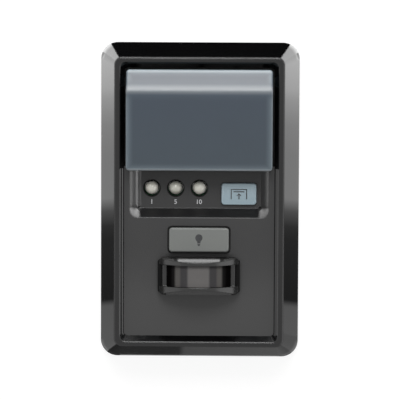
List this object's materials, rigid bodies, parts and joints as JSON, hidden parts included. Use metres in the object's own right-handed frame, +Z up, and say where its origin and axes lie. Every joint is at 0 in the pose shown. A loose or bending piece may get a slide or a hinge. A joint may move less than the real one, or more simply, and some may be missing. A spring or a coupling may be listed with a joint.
{
  "type": "garage door controller",
  "caption": "Wall control for a garage door: black bevelled housing with a hinged push bar over service keys, timer lamps, hold-open and light keys and a motion sensor.",
  "frame": {"origin": "centre of the back of the unit, on the wall's surface", "axes": "+Z up, +X to the viewer's right as the unit is read, +Y back into the wall; the face looks along -Y"},
  "size_m": [0.078, 0.0253, 0.124],
  "materials": {
    "housing_black": "polished bevel and crest, fine spark texture on the panel",
    "plate_black": "fine spark texture",
    "bar_smoke": "frosted smoke-grey polycarbonate, matt front",
    "bezel_grey": "satin moulded ABS",
    "lens_smoke": "smoked polyethylene sheet with lens zones",
    "lamp_epoxy": "diffused epoxy",
    "hold_key_frost": "frosted translucent plastic",
    "light_key_grey": "satin moulded plastic",
    "service_key_grey": "satin moulded plastic",
    "board_green": "solder mask over glass-fibre laminate",
    "chip_black": "moulded epoxy",
    "switch_black": "moulded nylon",
    "plunger_brown": "moulded acetal",
    "can_nickel": "nickel plate",
    "filter_dark": "polished silicon filter",
    "capacitor_aluminium": "drawn can",
    "terminal_brass": "tinned brass",
    "screw_zinc": "bright zinc plate",
    "key_lamp_white": "moulded silicone"
  },
  "bodies": {
    "housing": {"front_housing": "housing_black", "back_plate": "plate_black", "sensor_bezel": "bezel_grey", "sensor_lens": "lens_smoke", "pir_header": "can_nickel", "pir_can": "can_nickel", "pir_filter": "filter_dark", "circuit_board": "board_green", "timer_led_1": "lamp_epoxy", "timer_led_5": "lamp_epoxy", "timer_led_10": "lamp_epoxy", "microcontroller": "chip_black", "amplifier_chip": "chip_black", "crystal": "can_nickel", "supply_capacitor": "capacitor_aluminium", "filter_capacitor": "capacitor_aluminium", "line_diodes": "chip_black", "voltage_regulator": "chip_black", "key_lamps": "key_lamp_white", "terminal_plates": "terminal_brass", "terminal_screws": "screw_zinc", "board_screws": "screw_zinc", "plate_screws": "screw_zinc", "light_switch_case": "switch_black", "hold_switch_case": "switch_black", "lock_switch_case": "switch_black", "timer_switch_case": "switch_black", "learn_switch_case": "switch_black", "main_switch_case": "switch_black"},
    "push_bar": {"push_bar": "bar_smoke"},
    "light_key": {"light_key": "light_key_grey", "light_switch_plunger": "plunger_brown"},
    "hold_open_key": {"hold_open_key": "hold_key_frost", "hold_switch_plunger": "plunger_brown"},
    "lock_key": {"lock_key": "service_key_grey", "lock_switch_plunger": "plunger_brown"},
    "timer_key": {"timer_key": "service_key_grey", "timer_switch_plunger": "plunger_brown"},
    "learn_key": {"learn_key": "service_key_grey", "learn_switch_plunger": "plunger_brown"},
    "main_switch_plunger": {"main_switch_plunger": "plunger_brown"}
  },
  "joints": [
    {"name": "push_bar_hinge", "type": "hinge", "parent": "housing", "child": "push_bar", "pos_m": [0, -0.0152, 0.047], "axis": [-1, 0, 0], "range_deg": [-1.5, 100]},
    {"name": "light_key_press", "type": "slide", "parent": "housing", "child": "light_key", "axis": [0, 1, 0], "range_m": [0, 0.0004], "stiffness_N_per_m": 3000, "springref_m": -0.0001},
    {"name": "hold_open_key_press", "type": "slide", "parent": "housing", "child": "hold_open_key", "axis": [0, 1, 0], "range_m": [0, 0.0004], "stiffness_N_per_m": 3000, "springref_m": -0.0001},
    {"name": "lock_key_press", "type": "slide", "parent": "housing", "child": "lock_key", "axis": [0, 1, 0], "range_m": [0, 0.0004], "stiffness_N_per_m": 3000, "springref_m": -0.0001},
    {"name": "timer_key_press", "type": "slide", "parent": "housing", "child": "timer_key", "axis": [0, 1, 0], "range_m": [0, 0.0004], "stiffness_N_per_m": 3000, "springref_m": -0.0001},
    {"name": "learn_key_press", "type": "slide", "parent": "housing", "child": "learn_key", "axis": [0, 1, 0], "range_m": [0, 0.0004], "stiffness_N_per_m": 3000, "springref_m": -0.0001},
    {"name": "main_switch_plunger_press", "type": "slide", "parent": "housing", "child": "main_switch_plunger", "axis": [0, 1, 0], "range_m": [0, 0.0004], "stiffness_N_per_m": 3000, "springref_m": -0.0001}
  ]
}
